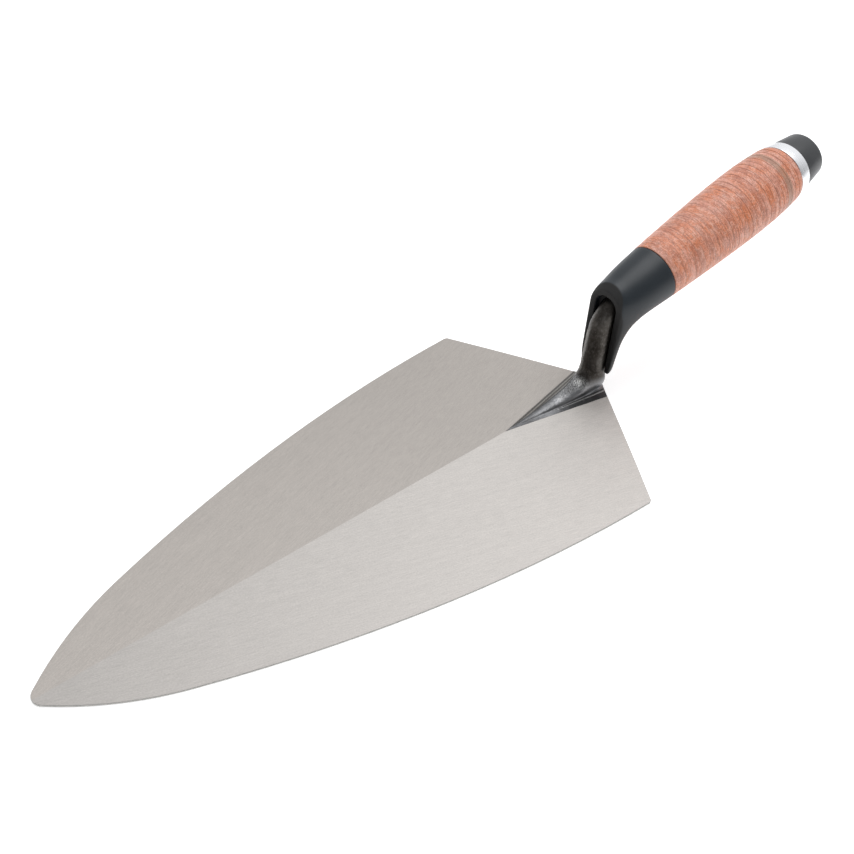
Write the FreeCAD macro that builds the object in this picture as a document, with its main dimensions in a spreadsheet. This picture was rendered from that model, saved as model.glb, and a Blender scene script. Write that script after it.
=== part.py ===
import FreeCAD, Part
import math
import os

import Sketcher
from FreeCAD import Placement, Rotation, Vector

# A brick trowel, lying on its blade.
# The blade's underside is z = 0, the toe points along -X and the handle along +X, and the
# trowel is symmetric about y = 0. The origin is on the ground, under the middle of its length.
#
# A "station" is a distance along the ground behind the toe, and a "reach" is a distance along
# the handle's axis behind the joint between the finger guard and the leather.

SIZES = {
    # The blade, ground thin from one forging
    "toe_to_origin": (200.6, "half of the overall length"),
    "blade_length": (277.3, "toe to the middle of the heel"),
    "toe_radius": (4.6, "blunted point"),
    "toe_heading": (40.5, "degrees that the outline opens to behind the blunted point"),
    "nose_radius": (138.0, "outline near the toe"),
    "nose_turn": (21.1, "degrees that the nose's arc turns"),
    "side_radius": (685.0, "outline of the long sides"),
    "corner_station": (239.3, "where side and heel meet"),
    "corner_radius": (2.2, "rounding of the two heel corners"),
    "heel_radius": (2200.0, "slight bow of each heel edge"),
    "ridge_at_toe": (1.1, "thickness on the centre line, at the toe"),
    "ridge_slope": (0.004, "how much it thickens per unit of length"),
    "facet_fall": (0.016, "fall of each ground face per unit of width"),
    # The root, where the forging's own skin is left unground
    "root_station": (217.5, "point of the unground triangle"),
    "root_slope": (0.024, "rise of its ridge per unit of length"),
    "root_fall": (0.1125, "fall of its flanks per unit of width"),
    # The shank and the tang
    "shank_station": (270.5, "axis of the upright shank"),
    "shank_radius": (5.4, "round shank"),
    "bend_radius": (13.0, "centre line of the shank's bend into the handle"),
    "shoulder_radius": (4.4, "end of the bend, where the tang steps down"),
    "tang_radius": (4.0, "tang inside the handle"),
    "thread_radius": (3.8, "threaded end of the tang"),
    "thread_start": (80.0, "reach at which the thread starts"),
    "tang_end": (95.5, "reach of the tang's end"),
    # The handle
    "handle_station": (300.0, "joint of guard and leather"),
    "handle_height": (52.8, "height of the handle's axis at that joint"),
    "handle_tilt": (15.6, "degrees that the handle rises towards the butt"),
    "ferrule_radius": (13.35, "guard and leather at their joint"),
    "ferrule_front_radius": (12.45, "guard at the front of its ferrule"),
    "ferrule_length": (12.0, "straight part of the guard, ahead of the joint"),
    "washer_thickness": (3.0, "one leather washer"),
    "washer_hole_radius": (4.3, "hole for the tang"),
    "grip_peak_radius": (15.7, "thickest part of the leather"),
    "grip_peak_reach": (60.0, "where the leather is thickest"),
    "grip_butt_radius": (14.1, "leather at the butt ring"),
    "ring_front_radius": (13.9, "butt ring at the leather"),
    "ring_back_radius": (13.1, "butt ring at the cap"),
    "ring_length": (5.9, "butt ring"),
    "ring_bore_radius": (10.0, "hole through the butt ring"),
    "pressure_radius": (9.7, "steel washer that squeezes the leather"),
    "pressure_thickness": (2.0, "steel washer that squeezes the leather"),
    "nut_across_flats": (13.0, "hexagon nut on the tang"),
    "nut_height": (6.5, "hexagon nut on the tang"),
    "nut_hole_radius": (3.85, "hexagon nut on the tang"),
    "cap_length": (12.4, "visible length of the butt cap"),
    "cap_front_radius": (13.0, "butt cap at the ring"),
    "cap_back_radius": (10.9, "butt cap at its end"),
    "cap_edge_radius": (1.4, "rounding of the butt cap's end"),
    "cap_spigot_radius": (9.9, "part of the cap that presses into the ring"),
    "cap_spigot_length": (3.7, "part of the cap that presses into the ring"),
    "cap_cavity_radius": (8.2, "room for the nut inside the cap"),
    "cap_wall": (4.0, "closed end of the cap"),
    # The finger guard
    "front_station": (270.6, "front of the guard, level with the shank's bend"),
    "front_height": (46.0, "where the arch of that front springs"),
    "front_lean": (1.0, "degrees that the front leans back towards its foot"),
    "arch_half_width": (8.8, "front face of the guard"),
    "arch_bevel": (40.0, "degrees that the guard opens behind its front edge"),
    "slot_top_half_width": (5.9, "slot for the shank, at its arch"),
    "slot_foot_half_width": (5.75, "slot for the shank, at the tongue's end"),
    "slot_depth": (3.0, "slot for the shank, behind the front face"),
    "clearance": (0.25, "all round the forging, inside the guard"),
    "tongue_height": (13.0, "end of the tongue, over the blade's underside"),
}
WASHER_COUNT = 28

os.makedirs("parts", exist_ok=True)
doc = FreeCAD.newDocument("trowel")
sheet = doc.addObject("Spreadsheet::Sheet", "Sizes")
for row, (alias, (value, note)) in enumerate(SIZES.items(), start=1):
    sheet.set(f"A{row}", alias)
    sheet.set(f"B{row}", str(value))
    sheet.set(f"C{row}", note)
    sheet.setAlias(f"B{row}", alias)
doc.recompute()


def size(alias):
    """A driving dimension, as the sheet holds it."""
    return float(sheet.get(alias))


# ---------------------------------------------------------------- places on the trowel

TILT = math.radians(size("handle_tilt"))
ACROSS = Vector(0, 1, 0)


def in_trowel(thing):
    """Moves a finished sub-part from stations to the trowel's own frame."""
    thing.setExpression("Placement.Base.x", "-Sizes.toe_to_origin")
    return thing


def on_handle(thing, reach="0", base="-Sizes.toe_to_origin"):
    """Stands a sub-part on the handle's axis: its own +Z points at the butt."""
    thing.Placement = Placement(Vector(), Rotation(ACROSS, 90 - size("handle_tilt")))
    along = f"({reach}) * cos(Sizes.handle_tilt * 1 deg)"
    up = f"({reach}) * sin(Sizes.handle_tilt * 1 deg)"
    thing.setExpression("Placement.Base.x", f"{base} + Sizes.handle_station + {along}")
    thing.setExpression("Placement.Base.z", f"Sizes.handle_height + {up}")
    return thing


def axis_point(reach, off_axis=0.0):
    """A point of the plane y = 0, in stations: along the handle's axis, then square to it."""
    x = size("handle_station") + reach * math.cos(TILT) - off_axis * math.sin(TILT)
    z = size("handle_height") + reach * math.sin(TILT) + off_axis * math.cos(TILT)
    return Vector(x, 0, z)


# ---------------------------------------------------------------- drawing


def plane_of(body, role):
    return next(feature for feature in body.Origin.OriginFeatures if feature.Role == role)


def sketch_on(body, role, name, offset=None):
    sketch = body.newObject("Sketcher::SketchObject", name)
    sketch.AttachmentSupport = [(plane_of(body, role), "")]
    sketch.MapMode = "FlatFace"
    if offset:
        sketch.AttachmentOffset = offset
    return sketch


def join_ends(sketch, first, last):
    """Makes the edges from first to last one closed outline, each end on the next start."""
    for edge in range(first, last):
        sketch.addConstraint(Sketcher.Constraint("Coincident", edge, 2, edge + 1, 1))
    sketch.addConstraint(Sketcher.Constraint("Coincident", last, 2, first, 1))


def closed_lines(sketch, corners):
    """A closed outline with straight edges. Returns the number of its first edge."""
    first = sketch.GeometryCount
    for start, end in zip(corners, corners[1:] + corners[:1]):
        line = Part.LineSegment(Vector(start[0], start[1], 0), Vector(end[0], end[1], 0))
        sketch.addGeometry(line, False)
    join_ends(sketch, first, sketch.GeometryCount - 1)
    return first


def bind(sketch, constraint, expression):
    index = sketch.addConstraint(constraint)
    sketch.setExpression(f"Constraints[{index}]", expression)


def place_start(sketch, edge, across, across_size, up, up_size):
    """Ties the start of an edge to the sketch's origin by two bound distances."""
    bind(sketch, Sketcher.Constraint("DistanceX", -1, 1, edge, 1, across), across_size)
    bind(sketch, Sketcher.Constraint("DistanceY", -1, 1, edge, 1, up), up_size)


def bound(kind, name, sizes):
    """A Part primitive whose sizes are expressions on the sheet."""
    thing = doc.addObject(kind, name)
    for prop, expression in sizes.items():
        thing.setExpression(prop, expression)
    return thing


def cut(name, base, tool):
    result = doc.addObject("Part::Cut", name)
    result.Base = base
    result.Tool = tool
    return result


def common(name, first, second):
    result = doc.addObject("Part::Common", name)
    result.Base = first
    result.Tool = second
    return result


def fuse(name, shapes):
    result = doc.addObject("Part::MultiFuse", name)
    result.Shapes = shapes
    return result


# ---------------------------------------------------------------- swept forms

SECTION_POINTS = 20
SECTIONS_PER_GAP = 3


def oval(seam, far, half_width, squareness):
    """Points of a superellipse that stands between two points of y = 0, from the seam round."""
    centre = (seam + far) * 0.5
    reach = (seam - far) * 0.5
    points = []
    for step in range(SECTION_POINTS):
        angle = 2 * math.pi * step / SECTION_POINTS
        along = math.copysign(abs(math.cos(angle)) ** (2 / squareness), math.cos(angle))
        across = math.copysign(abs(math.sin(angle)) ** (2 / squareness), math.sin(angle))
        points.append(centre + reach * along + ACROSS * (half_width * across))
    return points + points[:1]


def eased(before, start, end, after, share):
    """A value part of the way from start to end, on a smooth curve through all four."""
    slope_in = (end - before) / 2
    slope_out = (after - start) / 2
    square, cube = share**2, share**3
    return (
        start * (2 * cube - 3 * square + 1)
        + slope_in * (cube - 2 * square + share)
        + end * (3 * square - 2 * cube)
        + slope_out * (cube - square)
    )


def filled_in(sections):
    """The same run of sections with smooth ones between each two."""
    padded = [sections[0]] + sections + [sections[-1]]
    result = []
    for four in zip(padded, padded[1:], padded[2:], padded[3:]):
        for step in range(SECTIONS_PER_GAP):
            share = step / SECTIONS_PER_GAP
            result.append([eased(*values, share) for values in zip(*four)])
    return result + [sections[-1]]


def swept_form(name, sections, grow=0.0):
    """A smooth solid through ovals: seam x, z, far side x, z, half width, squareness."""
    rows = []
    for seam_x, seam_z, far_x, far_z, half_width, squareness in filled_in(sections):
        seam, far = Vector(seam_x, 0, seam_z), Vector(far_x, 0, far_z)
        outward = (seam - far).normalize() * grow
        rows.append(oval(seam + outward, far - outward, half_width + grow, squareness))
    surface = Part.BSplineSurface()
    surface.interpolate(rows)
    first, last = surface.bounds()[:2]
    faces = [surface.toShape()]
    for end in (first, last):
        faces.append(Part.Face(Part.Wire(surface.uIso(end).toShape())))
    shell = Part.makeShell(faces)
    shell.sewShape()
    form = doc.addObject("Part::Feature", name)
    form.Shape = Part.Solid(shell)
    return form


def bend_ends():
    """Centre of the shank's bend, and the angles about it where it starts and ends."""
    start = size("shank_station")
    corner_height = size("handle_height") - (size("handle_station") - start) * math.tan(TILT)
    turn = math.pi / 2 - TILT
    drop = size("bend_radius") * math.tan(turn / 2)
    centre = Vector(start + size("bend_radius"), 0, corner_height - drop)
    return centre, math.pi, math.pi - turn


def shank_sections():
    """The forging's boat-shaped foot, the shank that rises from it, and its bend."""
    sections = [
        (226.0, 1.2, 226.0, 2.5, 0.7, 2.0),
        (238.5, 1.0, 238.0, 3.1, 2.0, 2.1),
        (252.5, 0.8, 250.0, 4.8, 3.5, 2.1),
        (268.0, 0.8, 259.5, 7.8, 5.2, 2.1),
        (276.8, 2.6, 264.6, 13.4, 6.0, 2.1),
        (276.1, 13.5, 264.9, 20.0, 5.5, 2.1),
    ]
    centre, first, last = bend_ends()
    bend_steps = 4
    shank_r, shoulder_r = size("shank_radius"), size("shoulder_radius")
    for step in range(bend_steps + 1):
        share = step / bend_steps
        angle = first + (last - first) * share
        radius = shank_r + (shoulder_r - shank_r) * share
        outer = size("bend_radius") + radius
        inner = size("bend_radius") - radius
        front = (centre.x + outer * math.cos(angle), centre.z + outer * math.sin(angle))
        back = (centre.x + inner * math.cos(angle), centre.z + inner * math.sin(angle))
        sections.append((*back, *front, radius, 2.0))
    return sections


# ---------------------------------------------------------------- forging
# It is one piece of steel, kept as two nodes that meet on the ground faces.


def leftwards(heading):
    return Vector(-math.sin(heading), math.cos(heading), 0)


def meeting(centre, radius, other, other_radius):
    """The point left of the line between two circles' centres where the circles meet."""
    apart = other - centre
    along = (apart.Length**2 + radius**2 - other_radius**2) / (2 * apart.Length)
    unit = apart / apart.Length
    return centre + unit * along + Vector(-unit.y, unit.x, 0) * math.sqrt(radius**2 - along**2)


def arc(centre, start, end):
    """From start to end, anticlockwise about the centre."""
    circle = Part.Circle(centre, Vector(0, 0, 1), (start - centre).Length)
    first = math.atan2(start.y - centre.y, start.x - centre.x)
    last = math.atan2(end.y - centre.y, end.x - centre.x)
    return Part.ArcOfCircle(circle, first, last)


# A height that clears everything on the blade
ABOVE_BLADE = 30.0


def blade_outline():
    """The blade's plan as a tall prism: half of it is drawn, padded and mirrored."""
    toe_r, nose_r, side_r = size("toe_radius"), size("nose_radius"), size("side_radius")
    heel_r, corner_r = size("heel_radius"), size("corner_radius")
    opening = math.radians(size("toe_heading"))
    closing = opening - math.radians(size("nose_turn"))
    toe_centre = Vector(toe_r, 0, 0)
    toe_end = toe_centre + leftwards(opening) * toe_r
    nose_centre = toe_end - leftwards(opening) * nose_r
    nose_end = nose_centre + leftwards(closing) * nose_r
    side_centre = nose_end - leftwards(closing) * side_r

    # The sharp corner, then the heel's bow through it, then the rounding inside both arcs
    corner_x = size("corner_station")
    corner_y = side_centre.y + math.sqrt(side_r**2 - (corner_x - side_centre.x) ** 2)
    corner = Vector(corner_x, corner_y, 0)
    heel = Vector(size("blade_length"), 0, 0)
    chord = corner - heel
    middle = (corner + heel) * 0.5
    inward = Vector(-chord.y, chord.x, 0).normalize()
    heel_centre = middle + inward * math.sqrt(heel_r**2 - (chord.Length / 2) ** 2)
    corner_centre = meeting(heel_centre, heel_r - corner_r, side_centre, side_r - corner_r)
    heel_end = heel_centre + (corner_centre - heel_centre).normalize() * heel_r
    side_start = side_centre + (corner_centre - side_centre).normalize() * side_r

    body = doc.addObject("PartDesign::Body", "blade_plan")
    sketch = sketch_on(body, "XY_Plane", "half_plan")
    # Anticlockwise: the centre line, the heel, the corner, the side, the nose and the toe
    sketch.addGeometry(Part.LineSegment(Vector(), heel), False)
    sketch.addGeometry(arc(heel_centre, heel, heel_end), False)
    sketch.addGeometry(arc(corner_centre, heel_end, side_start), False)
    sketch.addGeometry(arc(side_centre, side_start, nose_end), False)
    sketch.addGeometry(arc(nose_centre, nose_end, toe_end), False)
    sketch.addGeometry(arc(toe_centre, toe_end, Vector()), False)
    join_ends(sketch, 0, 5)
    sketch.addConstraint(Sketcher.Constraint("Coincident", 0, 1, -1, 1))
    sketch.addConstraint(Sketcher.Constraint("Horizontal", 0))
    bind(sketch, Sketcher.Constraint("DistanceX", 0, 1, 0, 2, heel.x), "Sizes.blade_length")
    for edge, name in ((1, "heel"), (2, "corner"), (3, "side"), (4, "nose"), (5, "toe")):
        radius = Sketcher.Constraint("Radius", edge, size(f"{name}_radius"))
        bind(sketch, radius, f"Sizes.{name}_radius")
    pad = body.newObject("PartDesign::Pad", "plan_prism")
    pad.Profile = sketch
    pad.Length = ABOVE_BLADE
    doc.recompute()
    mirrored = body.newObject("PartDesign::Mirrored", "both_halves")
    mirrored.Originals = [pad]
    mirrored.MirrorPlane = (plane_of(body, "XZ_Plane"), [""])
    body.Tip = mirrored
    return body


def roof(name, station, ridge, slope, fall):
    """A long gable whose ridge climbs backwards: the top faces of a forged blade."""
    half, deep, length = 90.0, 30.0, 300.0
    ridge_now = float(ridge[1])
    body = doc.addObject("PartDesign::Body", name)
    offset = Placement(Vector(0, 0, station), Rotation())
    sketch = sketch_on(body, "YZ_Plane", f"{name}_gable", offset)
    eaves = ridge_now - size(fall) * half
    corners = [(0, ridge_now), (-half, eaves), (-half, -deep), (half, -deep), (half, eaves)]
    first = closed_lines(sketch, corners)
    sketch.addConstraint(Sketcher.Constraint("PointOnObject", first, 1, -2))
    bind(sketch, Sketcher.Constraint("DistanceY", -1, 1, first, 1, ridge_now), ridge[0])
    drop = Sketcher.Constraint("DistanceY", first, 2, first, 1, ridge_now - eaves)
    bind(sketch, drop, f"Sizes.{fall} * {half}")
    pad = body.newObject("PartDesign::Pad", f"{name}_gable_pad")
    pad.Profile = sketch
    pad.Length = length
    pad.UseCustomVector = True
    pad.Direction = Vector(1, 0, size(slope))
    return body


def blade(plan):
    """The ground plate: everything under the two ground faces."""
    toe_ridge = ("Sizes.ridge_at_toe", size("ridge_at_toe"))
    ground = roof("ground_faces", 0.0, toe_ridge, "ridge_slope", "facet_fall")
    return in_trowel(common("blade", ground, plan))


def shank_and_tang(plan):
    """What is left unground over the plate: the root, its foot, the shank and the tang."""
    # The root's gable starts a little ahead of its point, where it is under the ground faces
    lead = 20.0
    point_height = size("ridge_at_toe") + size("ridge_slope") * size("root_station")
    lead_height = point_height - size("root_slope") * lead
    expression = (
        "Sizes.ridge_at_toe + Sizes.ridge_slope * Sizes.root_station"
        f" - Sizes.root_slope * {lead}"
    )
    skin_start = size("root_station") - lead
    skin = roof("root_skin", skin_start, (expression, lead_height), "root_slope", "root_fall")
    root = common("root_flanks", skin, plan)
    shank = swept_form("foot_and_shank", shank_sections())
    start = tang_start_reach()
    tang_sizes = {"Radius": "Sizes.tang_radius", "Height": f"Sizes.thread_start - ({start})"}
    tang = on_handle(bound("Part::Cylinder", "tang", tang_sizes), str(start), "0")
    thread_sizes = {"Radius": "Sizes.thread_radius", "Height": "Sizes.tang_end - Sizes.thread_start"}
    thread = on_handle(bound("Part::Cylinder", "thread", thread_sizes), "Sizes.thread_start", "0")
    whole = fuse("forging_over_plate", [root, shank, tang, thread])
    return in_trowel(cut("shank_and_tang", whole, doc.getObject("ground_faces")))


def tang_start_reach():
    """Reach (negative) of the straight tang's start, a little inside the end of the bend."""
    inside = 2.0
    centre, _, last = bend_ends()
    end_x = centre.x + size("bend_radius") * math.cos(last)
    return (end_x - size("handle_station")) / math.cos(TILT) - inside


# ---------------------------------------------------------------- finger guard


def ferrule_section(reach, radius):
    top, bottom = axis_point(reach, radius), axis_point(reach, -radius)
    return top.x, top.z, bottom.x, bottom.z, radius, 2.0


def guard_sections():
    """The moulding's outside, from the leather joint forward and down into the tongue."""
    foot = size("tongue_height")
    return [
        ferrule_section(0.0, size("ferrule_radius")),
        ferrule_section(-size("ferrule_length"), size("ferrule_front_radius")),
        (276.5, 58.3, 286.2, 35.0, 11.5, 2.0),
        (268.5, 55.5, 283.0, 30.5, 10.5, 2.0),
        (262.0, 47.0, 281.0, 25.0, 9.9, 2.0),
        (261.0, 33.0, 279.9, 19.0, 9.4, 2.0),
        (261.6, 19.0, 279.2, 13.5, 8.8, 2.0),
        (262.4, foot, 278.8, foot, 8.2, 2.0),
    ]


def at_front(body):
    """Puts a body on the guard's leaning front face: its own +X points into the guard."""
    body.Placement = Placement(Vector(), Rotation(ACROSS, -size("front_lean")))
    body.setExpression("Placement.Base.x", "Sizes.front_station")
    body.setExpression("Placement.Base.z", "Sizes.front_height")
    return body


def arch(name, top_alias, foot_alias, length, taper, start):
    """An arched doorway shape, padded into the guard from its front face."""
    below = 55.0
    top, foot = size(top_alias), size(foot_alias)
    body = doc.addObject("PartDesign::Body", name)
    offset = Placement(Vector(0, 0, start), Rotation())
    sketch = sketch_on(body, "YZ_Plane", f"{name}_outline", offset)
    circle = Part.Circle(Vector(), Vector(0, 0, 1), top)
    left, right = Vector(-top, 0, 0), Vector(top, 0, 0)
    corners = [left, Vector(-foot, -below, 0), Vector(foot, -below, 0), right]
    for first, second in zip(corners, corners[1:]):
        sketch.addGeometry(Part.LineSegment(first, second), False)
    sketch.addGeometry(Part.ArcOfCircle(circle, 0, math.pi), False)
    join_ends(sketch, 0, 3)
    sketch.addConstraint(Sketcher.Constraint("Coincident", 3, 3, -1, 1))
    sketch.addConstraint(Sketcher.Constraint("PointOnObject", 3, 1, -1))
    sketch.addConstraint(Sketcher.Constraint("PointOnObject", 3, 2, -1))
    sketch.addConstraint(Sketcher.Constraint("Symmetric", 1, 1, 1, 2, -2))
    bind(sketch, Sketcher.Constraint("Radius", 3, top), f"Sizes.{top_alias}")
    width = Sketcher.Constraint("DistanceX", 1, 1, 1, 2, 2 * foot)
    bind(sketch, width, f"2 * Sizes.{foot_alias}")
    sketch.addConstraint(Sketcher.Constraint("DistanceY", 1, 1, -1, 1, below))
    pad = body.newObject("PartDesign::Pad", f"{name}_pad")
    pad.Profile = sketch
    pad.Length = length
    if taper:
        pad.setExpression("TaperAngle", f"Sizes.{taper}")
    return at_front(body)


def finger_guard():
    outside = swept_form("guard_outside", guard_sections())
    through = 60.0
    nose = arch("guard_nose", "arch_half_width", "arch_half_width", through, "arch_bevel", 0.0)
    shell = common("guard_shell", outside, nose)
    ahead = 12.0
    slot = arch("shank_slot", "slot_top_half_width", "slot_foot_half_width", 1, None, -ahead)
    doc.getObject("shank_slot_pad").setExpression("Length", f"Sizes.slot_depth + {ahead}")
    room = swept_form("shank_room", shank_sections(), size("clearance"))
    start = tang_start_reach()
    bore_sizes = {"Radius": "Sizes.tang_radius + Sizes.clearance", "Height": f"1 - ({start})"}
    bore = on_handle(bound("Part::Cylinder", "tang_bore", bore_sizes), str(start), "0")
    guard = cut("finger_guard", shell, fuse("guard_hollow", [slot, room, bore]))
    return in_trowel(guard)


# ---------------------------------------------------------------- leather grip


def grip_radius(reach):
    """The leather's outside as an expression: it swells to a peak and closes in at the butt."""
    swell = "Sizes.grip_peak_radius - Sizes.ferrule_radius"
    close = "Sizes.grip_peak_radius - Sizes.grip_butt_radius"
    length = f"{WASHER_COUNT} * Sizes.washer_thickness"
    rising = f"Sizes.ferrule_radius + ({swell}) * sin(90 deg * ({reach}) / Sizes.grip_peak_reach)"
    part_way = f"(({reach}) - Sizes.grip_peak_reach) / ({length} - Sizes.grip_peak_reach)"
    falling = f"Sizes.grip_peak_radius - ({close}) * ({part_way})^2"
    return f"({reach}) < Sizes.grip_peak_reach ? {rising} : {falling}"


def leather_washer(number):
    front = f"{number - 1} * Sizes.washer_thickness"
    back = f"{number} * Sizes.washer_thickness"
    name = f"leather_washer_{number:02d}"
    disc_sizes = {
        "Radius1": grip_radius(front),
        "Radius2": grip_radius(back),
        "Height": "Sizes.washer_thickness",
    }
    hole_sizes = {"Radius": "Sizes.washer_hole_radius", "Height": "Sizes.washer_thickness"}
    disc = bound("Part::Cone", f"disc_{number:02d}", disc_sizes)
    hole = bound("Part::Cylinder", f"hole_{number:02d}", hole_sizes)
    return on_handle(cut(name, disc, hole), front)


# ---------------------------------------------------------------- butt hardware

GRIP_END = f"{WASHER_COUNT} * Sizes.washer_thickness"


def turned(name, corners):
    """A body turned about its own Z. Corners are (radius, radius size, height, height size)."""
    body = doc.addObject("PartDesign::Body", name)
    sketch = sketch_on(body, "XZ_Plane", f"{name}_half_section")
    first = closed_lines(sketch, [(corner[0], corner[2]) for corner in corners])
    for edge, corner in enumerate(corners, start=first):
        place_start(sketch, edge, *corner)
    revolution = body.newObject("PartDesign::Revolution", f"{name}_turned")
    revolution.Profile = sketch
    revolution.ReferenceAxis = (sketch, ["V_Axis"])
    revolution.Angle = 360
    doc.recompute()
    return body


def corner(radius, height):
    """A corner of a half section from two expressions, with their present values."""
    return value_of(radius), radius, value_of(height), height


def value_of(expression):
    """What an expression of sheet sizes comes to now."""
    return float(sheet.evalExpression(expression))


def butt_ring():
    body = turned(
        "butt_ring",
        [
            corner("Sizes.ring_bore_radius", "0"),
            corner("Sizes.ring_front_radius", "0"),
            corner("Sizes.ring_back_radius", "Sizes.ring_length"),
            corner("Sizes.ring_bore_radius", "Sizes.ring_length"),
        ],
    )
    return on_handle(body, GRIP_END)


def pressure_washer():
    body = doc.addObject("PartDesign::Body", "pressure_washer")
    sketch = sketch_on(body, "XY_Plane", "pressure_washer_plan")
    for edge, alias in enumerate(("pressure_radius", "washer_hole_radius")):
        sketch.addGeometry(Part.Circle(Vector(), Vector(0, 0, 1), size(alias)), False)
        sketch.addConstraint(Sketcher.Constraint("Coincident", edge, 3, -1, 1))
        bind(sketch, Sketcher.Constraint("Radius", edge, size(alias)), f"Sizes.{alias}")
    pad = body.newObject("PartDesign::Pad", "pressure_washer_pad")
    pad.Profile = sketch
    pad.setExpression("Length", "Sizes.pressure_thickness")
    return on_handle(body, GRIP_END)


def tang_nut():
    hexagon = bound(
        "Part::Prism",
        "nut_hexagon",
        {"Circumradius": "Sizes.nut_across_flats / sqrt(3)", "Height": "Sizes.nut_height"},
    )
    hexagon.Polygon = 6
    hole_sizes = {"Radius": "Sizes.nut_hole_radius", "Height": "Sizes.nut_height"}
    hole = bound("Part::Cylinder", "nut_hole", hole_sizes)
    return on_handle(cut("tang_nut", hexagon, hole), f"{GRIP_END} + Sizes.pressure_thickness")


def butt_cap():
    spigot, length = "-Sizes.cap_spigot_length", "Sizes.cap_length"
    cavity = "Sizes.cap_cavity_radius"
    inner_end = f"{length} - Sizes.cap_wall"
    body = turned(
        "butt_cap",
        [
            corner("0", inner_end),
            corner(cavity, inner_end),
            corner(cavity, spigot),
            corner("Sizes.cap_spigot_radius", spigot),
            corner("Sizes.cap_spigot_radius", "0"),
            corner("Sizes.cap_front_radius", "0"),
            corner("Sizes.cap_back_radius", length),
            corner("0", length),
        ],
    )
    turned_cap = body.Tip
    end_edge = next(
        f"Edge{number}"
        for number, edge in enumerate(turned_cap.Shape.Edges, start=1)
        if edge.BoundBox.ZMin > size("cap_length") - 0.01 and edge.BoundBox.ZLength < 0.01
    )
    fillet = body.newObject("PartDesign::Fillet", "cap_end_rounding")
    fillet.Base = (turned_cap, [end_edge])
    fillet.setExpression("Radius", "Sizes.cap_edge_radius")
    body.Tip = fillet
    return on_handle(body, f"{GRIP_END} + Sizes.ring_length")


# ---------------------------------------------------------------- assembly


def assemble():
    plan = blade_outline()
    parts = [blade(plan), shank_and_tang(plan), finger_guard()]
    parts += [leather_washer(number) for number in range(1, WASHER_COUNT + 1)]
    parts += [butt_ring(), pressure_washer(), tang_nut(), butt_cap()]
    doc.recompute()
    return parts


def check(parts):
    """Stops on any failed object, and on any sub-part that is not one sound solid."""
    for thing in doc.Objects:
        if {"Invalid", "Error"} & set(thing.State):
            raise RuntimeError(f"{thing.Name} did not compute: {thing.State}")
    for part in parts:
        shape = part.Shape
        if shape.isNull() or not shape.isValid() or len(shape.Solids) != 1:
            raise RuntimeError(f"{part.Name} is not one valid solid")


parts = assemble()
check(parts)
for part in parts:
    part.Label = part.Name
    part.Shape.exportStep(f"parts/{part.Label}.step")
    box = part.Shape.optimalBoundingBox(False)
    volume = part.Shape.Volume
    span = f"x {box.XMin:.1f} to {box.XMax:.1f}, z {box.ZMin:.2f} to {box.ZMax:.2f}"
    print(f"{part.Label}: {volume:.0f} mm3, {span}")
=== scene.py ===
"""A brick trowel on a pale studio floor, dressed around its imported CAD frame.

The row frame is in metres: the blade lies on z = 0, the toe points along -X and the handle
along +X. Sizes here are in millimetres where a name ends in _mm, and in metres elsewhere.
"""

import math
import random

import bmesh
import bpy
from mathutils import Matrix, Vector, noise


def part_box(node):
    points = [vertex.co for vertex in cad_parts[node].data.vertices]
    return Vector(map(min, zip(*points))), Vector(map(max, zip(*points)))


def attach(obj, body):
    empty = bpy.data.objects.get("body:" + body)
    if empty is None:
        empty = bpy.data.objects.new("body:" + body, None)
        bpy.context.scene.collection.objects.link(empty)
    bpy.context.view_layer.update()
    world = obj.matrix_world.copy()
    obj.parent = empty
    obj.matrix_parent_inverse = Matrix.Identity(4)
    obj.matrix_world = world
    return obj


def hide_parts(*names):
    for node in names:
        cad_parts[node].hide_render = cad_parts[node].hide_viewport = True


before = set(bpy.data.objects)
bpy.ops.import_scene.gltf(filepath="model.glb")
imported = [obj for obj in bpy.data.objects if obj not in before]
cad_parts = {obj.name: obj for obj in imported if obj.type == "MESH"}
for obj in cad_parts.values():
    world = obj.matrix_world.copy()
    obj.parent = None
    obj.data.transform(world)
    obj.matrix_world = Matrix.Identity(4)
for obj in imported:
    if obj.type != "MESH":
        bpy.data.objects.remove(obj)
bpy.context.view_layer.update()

MM = 0.001

# The unground triangle on the blade: its point behind the toe, its length, and its half width
# per unit of length
ROOT_START = 217.5 * MM
ROOT_LENGTH = 54 * MM
ROOT_SPREAD = 0.2073

# Lines of flash on its two flanks, from 0 on the middle to 1 at the ground line. The left one
# turns outwards near the heel.
LEFT_FLASH = 0.4
LEFT_FLASH_TURN = 0.3
FLASH_POWER = 9.0
RIGHT_FLASH = 0.66

# The shank's axis, behind the toe, and the parting line on the shank: its angle about that axis,
# from straight ahead to the left
SHANK_STATION = 270.5 * MM
PARTING_ANGLE = 0.78

# The spot on the foot where a glint is painted, as a painted highlight, from the root's tip
PAINTED_GLINT = Vector((45 * MM, -1 * MM, 7 * MM))

# The grinding lines fan out from the ridge by this angle on each side
GRIND_ANGLE = math.radians(17)

WASHER_COUNT = 28
WASHER_HOLE = 4.3 * MM

# The forging is drawn as two pieces, parted this far ahead of the leather
PARTED_AHEAD = 16 * MM

# The ground faces: height of the ridge at the toe, its rise along the blade, and the faces'
# fall away from it
RIDGE_AT_TOE = 1.1 * MM
RIDGE_SLOPE = 0.004
FACET_FALL = 0.016
EDGE_BREAK = 0.14 * MM


# ---------------------------------------------------------------- places, from the frame


def centre(node):
    low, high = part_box(node)
    return (low + high) / 2


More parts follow.
